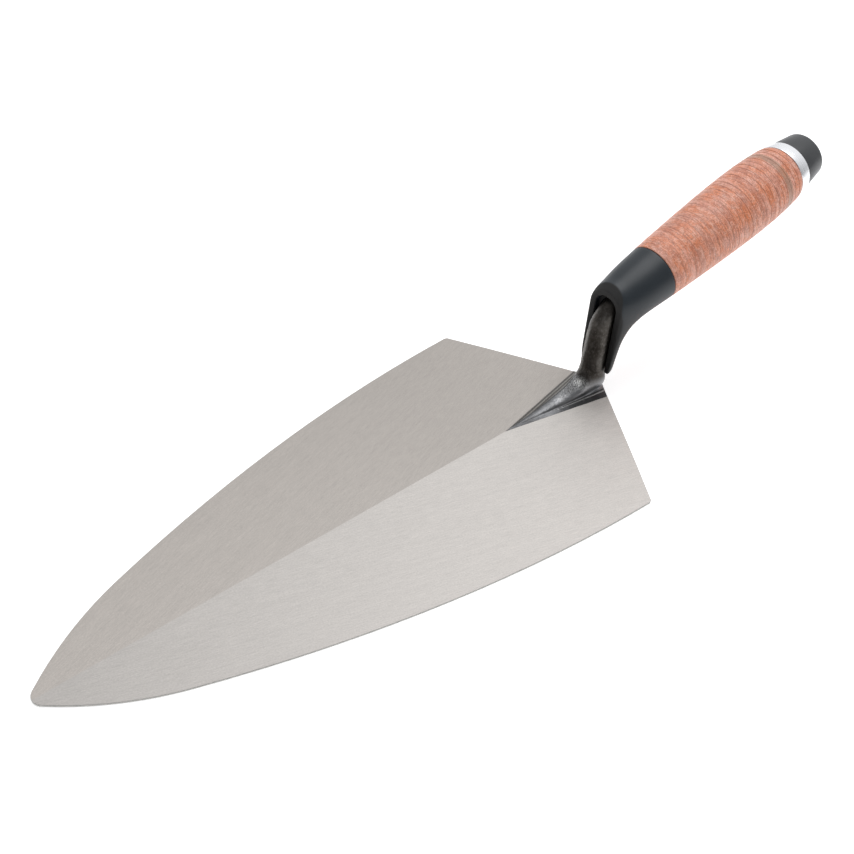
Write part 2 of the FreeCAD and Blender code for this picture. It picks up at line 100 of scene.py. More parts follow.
first_washer = centre("leather_washer_01")
last_washer = centre(f"leather_washer_{WASHER_COUNT}")
AXIS = (last_washer - first_washer).normalized()
WASHER = (last_washer - first_washer).length / (WASHER_COUNT - 1)
JOINT = first_washer - AXIS * (WASHER / 2)
ACROSS = Vector((0, 1, 0))
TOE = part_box("blade")[0].x
ROOT_TIP = Vector((TOE + ROOT_START, 0, 0))
SHANK_X = TOE + SHANK_STATION
# From the handle's own frame, with +Z along its axis and the joint at its origin
HANDLE = Matrix.Translation(JOINT) @ Matrix((ACROSS.cross(AXIS), ACROSS, AXIS)).transposed().to_4x4()
PARTED = HANDLE @ Vector((0, 0, -PARTED_AHEAD))


def rims(node):
    """Of a turned CAD node: its front and back reach, and its outer radius at each."""
    to_handle = HANDLE.inverted()
    places = [to_handle @ vertex.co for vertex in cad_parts[node].data.vertices]
    front = min(place.z for place in places)
    back = max(place.z for place in places)
    radii = []
    for end in (front, back):
        rim = [place for place in places if abs(place.z - end) < 0.05 * MM]
        radii.append(max(math.hypot(place.x, place.y) for place in rim))
    return front, back, *radii


# ---------------------------------------------------------------- node helpers


def node(tree, kind, inputs, **settings):
    """Adds a shader node. An input is a plain value or another node's output socket."""
    made = tree.nodes.new(kind)
    for name, value in settings.items():
        setattr(made, name, value)
    for name, value in inputs.items():
        if isinstance(value, bpy.types.NodeSocket):
            tree.links.new(value, made.inputs[name])
        else:
            made.inputs[name].default_value = value
    return made


def calculate(tree, operation, *values):
    return node(tree, "ShaderNodeMath", dict(enumerate(values)), operation=operation).outputs[0]


def place(tree):
    return node(tree, "ShaderNodeTexCoord", {}).outputs["Object"]


def stretched(tree, sizes, turn=0.0):
    """Object coordinates turned about Z, in units of the given feature sizes along X, Y and Z."""
    inputs = {"Vector": place(tree), "Rotation": (0, 0, turn), "Scale": sizes}
    return node(tree, "ShaderNodeMapping", inputs, vector_type="TEXTURE").outputs[0]


def clouds(tree, vector, detail=3.0, roughness=0.55):
    """Smooth noise from 0 to 1, one feature to each unit of the vector."""
    inputs = {"Vector": vector, "Scale": 1.0, "Detail": detail, "Roughness": roughness}
    return node(tree, "ShaderNodeTexNoise", inputs).outputs[0]


def graded(tree, factor, stops):
    """A colour ramp with (position, colour or grey) stops."""
    ramp = node(tree, "ShaderNodeValToRGB", {"Fac": factor})
    elements = ramp.color_ramp.elements
    while len(elements) < len(stops):
        elements.new(1.0)
    for element, (position, colour) in zip(elements, stops):
        element.position = position
        element.color = (*colour, 1) if isinstance(colour, tuple) else (colour, colour, colour, 1)
    return ramp.outputs[0]


def product(tree, first, *others):
    for other in others:
        first = calculate(tree, "MULTIPLY", first, other)
    return first


def spread(tree, factor, low, high):
    """Maps 0..1 to low..high."""
    inputs = {"Value": factor, "To Min": low, "To Max": high}
    return node(tree, "ShaderNodeMapRange", inputs).outputs[0]


def between(tree, value, start, end, low=0.0, high=1.0):
    """Maps start..end to low..high in a straight line, and holds still outside."""
    inputs = {"Value": value, "From Min": start, "From Max": end, "To Min": low, "To Max": high}
    return node(tree, "ShaderNodeMapRange", inputs).outputs[0]


def eased(tree, value, start, end):
    """Maps start..end to 0..1 along a soft S."""
    inputs = {"Value": value, "From Min": start, "From Max": end}
    return node(tree, "ShaderNodeMapRange", inputs, interpolation_type="SMOOTHSTEP").outputs[0]


def mixed(tree, factor, first, second):
    inputs = {0: factor, 6: first, 7: second}
    return node(tree, "ShaderNodeMix", inputs, data_type="RGBA").outputs[2]


def toned(tree, colour, tone):
    """The colour times a grey."""
    return node(tree, "ShaderNodeVectorMath", {0: colour, 1: tone}, operation="MULTIPLY").outputs[0]


def bumped(tree, height, depth, normal=None):
    """A bump whose relief is depth metres for a height from 0 to 1."""
    inputs = {"Height": height, "Distance": depth, "Strength": 1.0}
    if normal:
        inputs["Normal"] = normal
    return node(tree, "ShaderNodeBump", inputs).outputs[0]


def new_material(name, **constants):
    material = bpy.data.materials.new(name)
    material.use_nodes = True
    shader = material.node_tree.nodes["Principled BSDF"]
    for socket, value in constants.items():
        shader.inputs[socket.replace("_", " ").title().replace("Ior", "IOR")].default_value = value
    return material, material.node_tree, shader


def drive(tree, shader, **sockets):
    for name, output in sockets.items():
        tree.links.new(output, shader.inputs[name.replace("_", " ").title()])


# ---------------------------------------------------------------- materials


def ground_steel(name, turn, tint, painted_toe_shading):
    """Satin steel with straight grinding lines along one direction, with painted light and shade graded
    evenly towards the toe.
    """
    material, tree, shader = new_material(name, metallic=0.65, anisotropic=0.3)
    lines = clouds(tree, stretched(tree, (5 * MM, 0.38 * MM, 1), turn), 3.0, 0.6)
    grain = clouds(tree, stretched(tree, (0.7 * MM, 0.45 * MM, 1), turn), 2.0)
    streaks = clouds(tree, stretched(tree, (30 * MM, 1.8 * MM, 1), turn), 2.0)
    mottle = clouds(tree, stretched(tree, (12 * MM, 8 * MM, 1)), 3.0)
    fine = calculate(tree, "ADD", spread(tree, lines, -0.22, 0.22), spread(tree, grain, -0.2, 0.2))
    broad = calculate(tree, "ADD", spread(tree, streaks, -0.06, 0.06), spread(tree, mottle, 0.94, 1.06))
    along_blade = node(tree, "ShaderNodeSeparateXYZ", {0: place(tree)}).outputs["X"]
    # Painted light and shade: the colour is scaled by the toe's own factor at the toe, easing to 1 at 200
    # mm behind it.
    rearward = between(tree, along_blade, TOE, TOE + 200 * MM, painted_toe_shading)
    colour = toned(tree, tint, product(tree, calculate(tree, "ADD", fine, broad), rearward))
    roughness = calculate(tree, "ADD", spread(tree, lines, 0.54, 0.66), spread(tree, mottle, -0.03, 0.03))
    relief = bumped(tree, lines, 0.008 * MM)
    along = node(tree, "ShaderNodeCombineXYZ", {0: math.cos(turn), 1: math.sin(turn)}).outputs[0]
    drive(tree, shader, base_color=colour, roughness=roughness, normal=relief, tangent=along)
    return material


def wrinkled_foot(tree, colour, foot, wrinkles):
    """Ripples where the hammer turned the foot into the shank: where they are, and their colour, with
    painted highlight on their crests, painted shade in their hollows and a painted glint.
    """
    spot = node(tree, "ShaderNodeSeparateXYZ", {0: place(tree)})
    reach = calculate(tree, "SUBTRACT", spot.outputs["X"], ROOT_TIP.x)
    raised = eased(tree, reach, 28 * MM, 42 * MM)
    off_plate = between(tree, spot.outputs["Z"], 3.0 * MM, 4.5 * MM)
    leftwards = eased(tree, spot.outputs["Y"], -4 * MM, -0.5 * MM)
    wrinkled = product(tree, foot, raised, off_plate, leftwards)
    # Pale crests and dark hollows on the ripples: partly wear, partly painted highlight on the crests and
    # painted shade in the hollows.
    crest_sheen_and_wear = graded(tree, wrinkles, [(0.38, (0.07, 0.068, 0.066)), (0.5, 0.2), (0.66, 0.55)])
    colour = mixed(tree, product(tree, wrinkled, 0.75), colour, crest_sheen_and_wear)

    # Painted highlight: a near-white glint on the ripple crests round one spot on the foot.
    glint_centre = ROOT_TIP + PAINTED_GLINT
    away = node(tree, "ShaderNodeVectorMath", {0: place(tree), 1: glint_centre}, operation="DISTANCE")
    painted_glint = between(tree, away.outputs["Value"], 4.5 * MM, 1 * MM)
    on_crests = graded(tree, wrinkles, [(0.42, 0.0), (0.54, 1.0)])
    colour = mixed(tree, product(tree, painted_glint, on_crests), colour, (0.95, 0.95, 0.93, 1))
    return wrinkled, colour


def root_flanks(tree, colour, grains, wrinkles):
    """On each flank of the root: a painted highlight along the line of flash, painted shade in the groove
    inside it, and flat skin outside.
    """
    spot = node(tree, "ShaderNodeSeparateXYZ", {0: place(tree)})
    reach = calculate(tree, "SUBTRACT", spot.outputs["X"], ROOT_TIP.x)
    half_width = product(tree, calculate(tree, "MAXIMUM", reach, 1 * MM), ROOT_SPREAD)
    share = calculate(tree, "DIVIDE", calculate(tree, "ABSOLUTE", spot.outputs["Y"]), half_width)
    left = calculate(tree, "GREATER_THAN", spot.outputs["Y"], 0.0)
    turn = calculate(tree, "POWER", calculate(tree, "DIVIDE", reach, ROOT_LENGTH), FLASH_POWER)
    left_flash = calculate(tree, "MULTIPLY_ADD", turn, LEFT_FLASH_TURN, LEFT_FLASH - RIGHT_FLASH)
    flash = calculate(tree, "MULTIPLY_ADD", left_flash, left, RIGHT_FLASH)

    # The skin reaches further up the foot on its left, and on the right it keeps to the rear
    skin_top = calculate(tree, "MULTIPLY_ADD", left, 3.6 * MM, 4.4 * MM)
    on_root = calculate(tree, "LESS_THAN", spot.outputs["Z"], skin_top)
    rear = calculate(tree, "MAXIMUM", left, between(tree, reach, 24 * MM, 34 * MM))
    on_root = product(tree, on_root, rear)

    # On the left it has stripes along the edge of the ground face
    from_edge = calculate(tree, "SUBTRACT", half_width, spot.outputs["Y"])
    stripes = calculate(tree, "MULTIPLY_ADD", from_edge, 4.4 / MM, spread(tree, grains, 0.0, 2.5))
    stripes = calculate(tree, "MULTIPLY_ADD", calculate(tree, "SINE", stripes), 0.5, 0.5)
    striped = mixed(tree, stripes, (0.06, 0.055, 0.049, 1), (0.23, 0.216, 0.196, 1))
    skin_tone = mixed(tree, left, (0.04, 0.04, 0.041, 1), striped)
    pits = graded(tree, wrinkles, [(0.36, 0.4), (0.48, 0.0)])
    skin_tone = mixed(tree, pits, skin_tone, (0.05, 0.05, 0.05, 1))

    # Ramp stops across the flank: 0.5 is the line of flash, and more is further out
    beyond = calculate(tree, "ADD", calculate(tree, "SUBTRACT", share, flash), 0.5)
    # Painted light and shade: the dark layer is painted shade in the groove, the bright one a painted
    # highlight along the flash.
    layers = (
        ([(0.5, 0.0), (0.54, 0.9)], skin_tone),
        ([(0.36, 0.0), (0.41, 0.8), (0.44, 0.8), (0.475, 0.0)], (0.025, 0.024, 0.022, 1)),
        ([(0.47, 0.0), (0.495, 0.8), (0.51, 0.8), (0.535, 0.0)], (0.26, 0.256, 0.245, 1)),
    )
    for stops, tone in layers:
        colour = mixed(tree, product(tree, graded(tree, beyond, stops), on_root), colour, tone)
    return colour


def parting_line_highlight(tree, colour, grains):
    """A painted highlight along the parting line up the left of the shank."""
    spot = node(tree, "ShaderNodeSeparateXYZ", {0: place(tree)})
    ahead = calculate(tree, "SUBTRACT", SHANK_X, spot.outputs["X"])
    around = calculate(tree, "ARCTAN2", spot.outputs["Y"], ahead)
    on_line = calculate(tree, "COMPARE", around, PARTING_ANGLE - 0.02, 0.1)
    on_shank = calculate(tree, "COMPARE", spot.outputs["Z"], 23 * MM, 11 * MM)
    # Painted highlight: a pale line on the shank's parting line.
    return mixed(tree, product(tree, on_line, on_shank, grains), colour, (0.6, 0.58, 0.55, 1))


def forged_skin():
    """Scaled steel straight from the hammer: brown on the shank, paler and wrinkled on the foot, with
    painted highlights and painted shade on the root, foot and shank.
    """
    material, tree, shader = new_material("forged_skin", metallic=0.9)
    spot = node(tree, "ShaderNodeSeparateXYZ", {0: place(tree)})
    broad = clouds(tree, stretched(tree, (6 * MM,) * 3), 3.0)
    grains = clouds(tree, stretched(tree, (1.0 * MM, 1.0 * MM, 1.6 * MM)), 4.0, 0.6)
    wrinkles = clouds(tree, stretched(tree, (1.1 * MM, 0.45 * MM, 0.65 * MM), 0.6), 3.0, 0.6)
    specks = clouds(tree, stretched(tree, (0.5 * MM,) * 3), 1.0)
    ragged = calculate(tree, "ADD", spot.outputs["Z"], spread(tree, broad, -3 * MM, 3 * MM))
    foot = eased(tree, ragged, 11 * MM, 6 * MM)

    # The pale foot darkens towards the root's tip
    brown = [(0.3, (0.042, 0.036, 0.031)), (0.55, (0.066, 0.059, 0.052)), (0.75, (0.1, 0.092, 0.082))]
    pale = [(0.3, (0.17, 0.172, 0.178)), (0.5, (0.25, 0.253, 0.262)), (0.75, (0.34, 0.342, 0.346))]
    reach = calculate(tree, "SUBTRACT", spot.outputs["X"], ROOT_TIP.x)
    rearward = between(tree, reach, 8 * MM, 42 * MM, 0.42, 1.15)
    pale = toned(tree, graded(tree, broad, pale), rearward)
    colour = mixed(tree, foot, graded(tree, broad, brown), pale)
    colour = mixed(tree, graded(tree, grains, [(0.48, 0.0), (0.75, 0.25)]), colour, (0.3, 0.29, 0.28, 1))

    wrinkled, colour = wrinkled_foot(tree, colour, foot, wrinkles)
    colour = root_flanks(tree, colour, grains, wrinkles)
    colour = parting_line_highlight(tree, colour, grains)
    colour = mixed(tree, graded(tree, specks, [(0.74, 0.0), (0.8, 0.6)]), colour, (0.45, 0.45, 0.44, 1))
    roughness = calculate(tree, "ADD", spread(tree, grains, 0.28, 0.44), spread(tree, broad, -0.05, 0.06))
    relief = bumped(tree, grains, 0.14 * MM)
    relief = bumped(tree, product(tree, wrinkles, wrinkled), 0.8 * MM, relief)
    drive(tree, shader, base_color=colour, roughness=roughness, normal=relief)
    return material


def moulded(tree, shader, colour, roughness, grain_size):
    """Gives a plastic the fine even grain of a spark-finished mould, and faint flow marks."""
    grain = clouds(tree, stretched(tree, (grain_size,) * 3), 2.0)
    flow = clouds(tree, stretched(tree, (14 * MM,) * 3), 2.0)
    uneven = calculate(tree, "ADD", spread(tree, grain, -0.04, 0.04), spread(tree, flow, -0.03, 0.03))
    rough = calculate(tree, "ADD", roughness, uneven)
    tint = toned(tree, colour, spread(tree, flow, 0.85, 1.15))
    drive(tree, shader, base_color=tint, roughness=rough, normal=bumped(tree, grain, 0.02 * MM))


def cap_plastic():
    material, tree, shader = new_material("cap_charcoal", metallic=0.0, ior=1.5)
    moulded(tree, shader, (0.035, 0.037, 0.04), 0.34, 0.35 * MM)
    return material


def guard_plastic():
    """Black plastic: satin on the ferrule, with a bluish tint that paints a blue cast into its sheen; matt
    round the slot; blackest down the tongue, as painted shade.
    """
    material, tree, shader = new_material("guard_plastic", metallic=0.0, ior=1.5, specular_ior_level=0.4)
    spot = node(tree, "ShaderNodeSeparateXYZ", {0: place(tree)})
    normal = node(tree, "ShaderNodeNewGeometry", {}).outputs["Normal"]
    ahead = node(tree, "ShaderNodeSeparateXYZ", {0: normal}).outputs["X"]
    front_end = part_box("finger_guard")[0].x + 13 * MM
    facing = eased(tree, ahead, -0.42, -0.58)
    near = eased(tree, spot.outputs["X"], front_end + 1 * MM, front_end - 1 * MM)
    front = product(tree, facing, near)
    # Painted shade: the lower guard and the tongue are made darker, as well as rougher.
    low = eased(tree, spot.outputs["Z"], 52 * MM, 34 * MM)
    # The ferrule's bluish colour is a painted blue cast for its sheen.
    colour = mixed(tree, front, (0.019, 0.025, 0.031, 1), (0.02, 0.02, 0.02, 1))
    colour = mixed(tree, low, colour, (0.006, 0.006, 0.006, 1))
    matt = spread(tree, calculate(tree, "MAXIMUM", front, low), 0.42, 0.62)
    moulded(tree, shader, colour, matt, 0.3 * MM)
    return material


def leather():
    """The cut edges of lacquered leather washers: each its own shade, with fine layers."""
    material, tree, shader = new_material(
        "stacked_leather", metallic=0.0, ior=1.45, coat_weight=0.2, coat_roughness=0.35
    )
    reach = node(tree, "ShaderNodeSeparateXYZ", {0: place(tree)}).outputs["Z"]
    washers = calculate(tree, "DIVIDE", reach, WASHER)
    number = {"W": calculate(tree, "FLOOR", washers)}
    shade = node(tree, "ShaderNodeTexWhiteNoise", number, noise_dimensions="1D").outputs[0]
    layers = clouds(tree, stretched(tree, (12 * MM, 12 * MM, 0.5 * MM)), 4.0, 0.75)
    fibres = clouds(tree, stretched(tree, (1.6 * MM, 1.6 * MM, 0.35 * MM)), 3.0, 0.6)
    patches = clouds(tree, stretched(tree, (8 * MM, 8 * MM, 4.5 * MM)), 3.0)
    blooms = clouds(tree, stretched(tree, (3.5 * MM, 3.5 * MM, 1.6 * MM)), 3.0)
    speckle = clouds(tree, stretched(tree, (0.55 * MM,) * 3), 2.0)

    shades = [
        (0.0, (0.62, 0.22, 0.13)),
        (0.3, (0.74, 0.31, 0.21)),
        (0.55, (0.62, 0.26, 0.175)),
        (0.8, (0.82, 0.37, 0.265)),
        (1.0, (0.7, 0.22, 0.1)),
    ]
    colour = graded(tree, shade, shades)
    dark = (0.3, 0.1, 0.06, 1)
    pale = (0.92, 0.58, 0.46, 1)
    orange = (0.8, 0.235, 0.085, 1)
    colour = mixed(tree, graded(tree, patches, [(0.44, 0.0), (0.62, 0.8)]), colour, orange)
    colour = mixed(tree, graded(tree, blooms, [(0.5, 0.0), (0.68, 0.5)]), colour, pale)
    colour = mixed(tree, graded(tree, blooms, [(0.32, 0.4), (0.48, 0.0)]), colour, dark)
    colour = mixed(tree, graded(tree, layers, [(0.34, 0.7), (0.47, 0.0)]), colour, dark)
    colour = mixed(tree, graded(tree, layers, [(0.55, 0.0), (0.72, 0.55)]), colour, pale)
    colour = mixed(tree, graded(tree, fibres, [(0.34, 0.6), (0.5, 0.0)]), colour, dark)
    colour = mixed(tree, graded(tree, speckle, [(0.28, 0.65), (0.46, 0.0)]), colour, dark)
    colour = mixed(tree, graded(tree, speckle, [(0.54, 0.0), (0.74, 0.7)]), colour, pale)
    # The joints between washers, and one washer of a greyer hide near the butt
    joint = calculate(tree, "PINGPONG", washers, 0.5)
    colour = mixed(tree, graded(tree, joint, [(0.02, 0.45), (0.07, 0.0)]), colour, dark)
    greyer = calculate(tree, "COMPARE", washers, WASHER_COUNT - 3.2, 0.6)
    colour = mixed(tree, product(tree, greyer, 0.45), colour, (0.24, 0.19, 0.13, 1))
    roughness = spread(tree, layers, 0.36, 0.56)
    relief = bumped(tree, layers, 0.08 * MM)
    relief = bumped(tree, fibres, 0.08 * MM, relief)
    relief = bumped(tree, speckle, 0.06 * MM, relief)
    drive(tree, shader, base_color=colour, roughness=roughness, normal=relief)
    return material


def turned_aluminium():
    """Bright aluminium with the fine rings that a lathe leaves."""
    material, tree, shader = new_material("turned_aluminium", metallic=1.0, anisotropic=0.5)
    rings = clouds(tree, stretched(tree, (30 * MM, 30 * MM, 0.12 * MM)), 3.0)
    colour = toned(tree, (0.86, 0.865, 0.88), spread(tree, rings, 0.94, 1.04))
    around = node(tree, "ShaderNodeTangent", {}, direction_type="RADIAL", axis="Z").outputs[0]
    relief = bumped(tree, rings, 0.008 * MM)
    rough = spread(tree, rings, 0.2, 0.32)
    drive(tree, shader, base_color=colour, roughness=rough, normal=relief, tangent=around)
    return material


def plated_steel():
    material, tree, shader = new_material("zinc_plate", metallic=1.0)
    frost = clouds(tree, stretched(tree, (1.5 * MM,) * 3), 3.0)
    colour = graded(tree, frost, [(0.3, (0.5, 0.5, 0.49)), (0.7, (0.68, 0.68, 0.66))])
    drive(tree, shader, base_color=colour, roughness=spread(tree, frost, 0.28, 0.45))
    return material


# ---------------------------------------------------------------- mesh helpers


def finished(name, bm, materials, sharp=30.0):
    """Makes a smooth-shaded piece of a bmesh, with the given materials."""
    mesh = bpy.data.meshes.new(name)
    bm.to_mesh(mesh)
    bm.free()
    piece = bpy.data.objects.new(name, mesh)
    bpy.context.scene.collection.objects.link(piece)
    for material in materials:
        mesh.materials.append(material)
    mesh.shade_smooth()
    mesh.set_sharp_from_angle(angle=math.radians(sharp))
    return piece


def rounded(corners, steps=5):
    """A closed outline with rounded corners. Each corner is x, y and its rounding's radius."""
    outline = []
    earlier = corners[-1:] + corners[:-1]
    later = corners[1:] + corners[:1]
    for before, corner, after in zip(earlier, corners, later):
        point = Vector(corner[:2])
        if not corner[2]:
            outline.append(point)
            continue
        back = (Vector(before[:2]) - point).normalized()
        on = (Vector(after[:2]) - point).normalized()
        half = back.angle(on) / 2
        middle = point + (back + on).normalized() * (corner[2] / math.sin(half))
        start = point + back * (corner[2] / math.tan(half)) - middle
        end = point + on * (corner[2] / math.tan(half)) - middle
        for step in range(steps + 1):
            outline.append(middle + start.lerp(end, step / steps).normalized() * corner[2])
    return outline


def turned(name, corners, material, segments=180):
    """A form turned about the handle's axis. Corners are radius, reach and rounding."""
    bm = bmesh.new()
    loop = [bm.verts.new((point.x, 0, point.y)) for point in rounded(corners)]
    edges = [bm.edges.new(pair) for pair in zip(loop, loop[1:] + loop[:1])]
    bmesh.ops.spin(
        bm, geom=loop + edges, cent=(0, 0, 0), axis=(0, 0, 1), angle=math.tau, steps=segments
    )
    bmesh.ops.remove_doubles(bm, verts=bm.verts, dist=0.0005 * MM)
    bmesh.ops.recalc_face_normals(bm, faces=bm.faces)
    piece = finished(name, bm, [material])
    piece.matrix_world = HANDLE
    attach(piece, "root")
    return piece


def part_of(node_name, cuts):
    """A closed bmesh copy of a CAD node, without what lies beyond each (point, normal) cut."""
    bm = bmesh.new()
    bm.from_mesh(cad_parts[node_name].data)
    bmesh.ops.remove_doubles(bm, verts=bm.verts, dist=0.001 * MM)
    for point, normal in cuts:
        everything = bm.verts[:] + bm.edges[:] + bm.faces[:]
        cut = bmesh.ops.bisect_plane(
            bm, geom=everything, plane_co=point, plane_no=normal, clear_outer=True
        )
        rim = [item for item in cut["geom_cut"] if isinstance(item, bmesh.types.BMEdge)]
        bmesh.ops.triangle_fill(bm, edges=rim, use_beauty=True)
    return bm


def remeshed(bm, voxel, smoothing):
    """The same form as an even mesh with softened edges."""
    mesh = bpy.data.meshes.new("rough")
    bm.to_mesh(mesh)
    bm.free()
    rough = bpy.data.objects.new("rough", mesh)
    bpy.context.scene.collection.objects.link(rough)
    remesh = rough.modifiers.new("remesh", "REMESH")
    remesh.mode = "VOXEL"
    remesh.voxel_size = voxel
    even = bpy.data.meshes.new_from_object(rough.evaluated_get(bpy.context.evaluated_depsgraph_get()))
    bpy.data.objects.remove(rough)
    result = bmesh.new()
    result.from_mesh(even)
    bpy.data.meshes.remove(even)
    for _ in range(smoothing):
        bmesh.ops.smooth_vert(
            result, verts=result.verts, factor=0.5, use_axis_x=True, use_axis_y=True, use_axis_z=True
        )
    return result


# ---------------------------------------------------------------- blade


def blade_plan():
    """The blade's plan, anticlockwise: the vertices of the CAD node's flat underside."""
    underside = {
        (round(vertex.co.x, 7), round(vertex.co.y, 7))
        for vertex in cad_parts["blade"].data.vertices
        if vertex.co.z < 0.001 * MM
    }
    middle = centre("blade").x
    return sorted(underside, key=lambda spot: math.atan2(spot[1], spot[0] - middle))


def ground_height(x, y):
    return RIDGE_AT_TOE + RIDGE_SLOPE * (x - TOE) - FACET_FALL * abs(y)


def inset(plan, amount):
    """The anticlockwise plan with every side moved inwards by amount."""
    spots = []
    for before, spot, after in zip(plan[-1:] + plan[:-1], plan, plan[1:] + plan[:1]):
        first = Vector((spot[1] - before[1], before[0] - spot[0])).normalized()
        second = Vector((after[1] - spot[1], spot[0] - after[0])).normalized()
        outward = (first + second).normalized()
        outward /= max(outward.dot(first), 0.5)
        spots.append(Vector(spot) - outward * amount)
    return spots


def blade():
    """The ground plate: two flat faces that meet in a sharp ridge, with its edges just broken."""
    plan = blade_plan()
    left, right, edge = range(3)
    bm = bmesh.new()
    rows = []
    for amount, top, drop in ((1, False, 0), (0, False, 1), (0, True, 1), (1, True, 0)):
        row = []
        for x, y in inset(plan, EDGE_BREAK * amount):
            z = ground_height(x, y) - EDGE_BREAK * drop if top else EDGE_BREAK * drop
            row.append(bm.verts.new((x, y, z)))
        rows.append(row)
    for lower, upper in zip(rows, rows[1:]):
        pairs = list(zip(lower, upper))
        for (low_a, up_a), (low_b, up_b) in zip(pairs, pairs[1:] + pairs[:1]):
            bm.faces.new((low_a, low_b, up_b, up_a)).material_index = edge
    bm.faces.new(reversed(rows[0])).material_index = edge
    middle = centre("blade").x
    for index, side in ((left, 1), (right, -1)):
        half = [vertex for vertex in rows[-1] if vertex.co.y * side > -0.01 * MM]
        half.sort(key=lambda vertex: math.atan2(vertex.co.y, vertex.co.x - middle))
        bm.faces.new(half).material_index = index
    bmesh.ops.triangulate(bm, faces=[face for face in bm.faces if len(face.verts) > 4])
    bmesh.ops.recalc_face_normals(bm, faces=bm.faces)
    # The left face's darker tint and the right face's lighter tint are painted shade and painted light,
    # and so are their different tones towards the toe.
    materials = [
        ground_steel("ground_steel_left", GRIND_ANGLE, (0.418, 0.389, 0.362), 1.23),
        ground_steel("ground_steel_right", -GRIND_ANGLE, (0.56, 0.533, 0.507), 0.83),
        ground_steel("ground_steel_edge", 0.0, (0.5, 0.49, 0.47), 1.0),
    ]
    piece = finished("ground_plate", bm, materials, sharp=0.5)
    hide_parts("blade")
    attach(piece, "root")


# ---------------------------------------------------------------- root, shank and tang


def hump(value, middle, half_width):
    """1 at the middle, falling smoothly to 0 at half_width on each side."""
    away = min(1.0, abs(value - middle) / half_width)
    return (1 - away * away) ** 2


def flash_share(reach_mm, side):
    """Where the line of flash lies on each flank, from 0 on the middle to 1 at the ground line."""
    if side > 0:
        return LEFT_FLASH + LEFT_FLASH_TURN * (reach_mm * MM / ROOT_LENGTH) ** FLASH_POWER
    return RIGHT_FLASH


def root_relief(reach_mm, share, side):
    """Height of the unground flank over the ground face, in millimetres."""
    line = flash_share(reach_mm, side)
    start_mm = 12 if side > 0 else 24
    strength = min(1.0, max(0.0, (reach_mm - start_mm) / 12))
    flash = hump(share, line, 0.05) * 0.34
    groove = hump(share, line - 0.1, 0.07) * 0.3
    layers = math.sin(share * 62) * 0.025 if share > line else 0.0
    shoulder = 0.1 + 0.16 * max(0.0, 1 - share)
    return shoulder + (flash - groove + layers) * strength


def hammered(spot, normal):
    """How far the forging's skin stands off its plain shape, in millimetres."""
    waves = noise.noise(spot / (5.5 * MM)) * 0.07
    on_foot = hump((spot.x - ROOT_TIP.x) / MM, 38, 24) * max(0.0, 1 - spot.z / (22 * MM))
    dents = noise.noise(spot / (1.2 * MM)) * 0.12 * on_foot * max(0.0, normal.z)
    # A faint parting line up the left of the shank
    around = math.atan2(spot.y, SHANK_X - spot.x)
    line = hump(around, PARTING_ANGLE, 0.1) * 0.3 if 12 * MM < spot.z < 34 * MM else 0.0
    return waves + dents + line


def on_flank(spot, normal):
    """Lifts the unground flanks of the root clear of the ground face, with their flash."""
    reach_mm = max((spot.x - ROOT_TIP.x) / MM, 0.5)
    share = abs(spot.y) / (ROOT_SPREAD * reach_mm * MM)
    if normal.z < 0.2 or share > 1.02:
        return spot.z
    lifted = ground_height(spot.x, spot.y) + root_relief(reach_mm, share, spot.y) * MM
    blend = min(1.0, (normal.z - 0.2) / 0.3)
    return max(spot.z, spot.z + (lifted - spot.z) * blend)


def root_and_shank(skin):
    """The unground root, the foot and the shank, as one skin that sinks into the ground plate."""
    bm = part_of("shank_and_tang", [(PARTED, AXIS)])
    low = [face for face in bm.faces if face.calc_center_median().z < 2.5 * MM]
    underside = [face for face in low if face.normal.z < -0.9]
    sunk = bmesh.ops.extrude_face_region(bm, geom=underside)["geom"]
    lowered = [item for item in sunk if isinstance(item, bmesh.types.BMVert)]
    bmesh.ops.translate(bm, verts=lowered, vec=(0, 0, -0.8 * MM))
    even = remeshed(bm, voxel=0.22 * MM, smoothing=5)
    even.normal_update()
    moves = [vertex.normal * hammered(vertex.co, vertex.normal) * MM for vertex in even.verts]
    for vertex, move in zip(even.verts, moves):
        vertex.co += move
        vertex.co.z = on_flank(vertex.co, vertex.normal)
    piece = finished("root_and_shank", even, [skin], sharp=60)
    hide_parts("shank_and_tang")
    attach(piece, "root")


def tang(skin):
    """The rest of the forging, inside the handle."""
    bm = part_of("shank_and_tang", [(PARTED, -AXIS)])
    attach(finished("tang", bm, [skin]), "root")


# ---------------------------------------------------------------- guard and grip


def guard():
    even = remeshed(part_of("finger_guard", []), voxel=0.3 * MM, smoothing=6)
    piece = finished("guard_moulding", even, [guard_plastic()], sharp=60)
    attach(piece, "root")
    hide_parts("finger_guard")


def grip():
    """The stack of leather washers, each a hair off its neighbours, with its edges just broken."""
    hide = leather()
    chance = random.Random(11)
    for number in range(1, WASHER_COUNT + 1):
        source = f"leather_washer_{number:02d}"
        front, back, front_radius, back_radius = rims(source)
        proud = chance.uniform(-0.05, 0.0) * MM
        butt_rounding = 1.3 * MM if number == WASHER_COUNT else 0.14 * MM
        corners = [
            (WASHER_HOLE, front, 0),
            (front_radius + proud, front, 0.14 * MM),
            (back_radius + proud, back, butt_rounding),
            (WASHER_HOLE, back, 0),
        ]
        piece = turned(f"leather_{number:02d}", corners, hide)
        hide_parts(source)


# ---------------------------------------------------------------- butt


def butt_ring():
    front, back, front_radius, back_radius = rims("butt_ring")
    bore = 10.0 * MM
    bevel = 0.25 * MM
    corners = [
        (bore, front, 0),
        (front_radius, front, bevel),
        (back_radius, back, bevel),
        (bore, back, 0),
    ]
    ring = turned("turned_ring", corners, turned_aluminium())
    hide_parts("butt_ring")


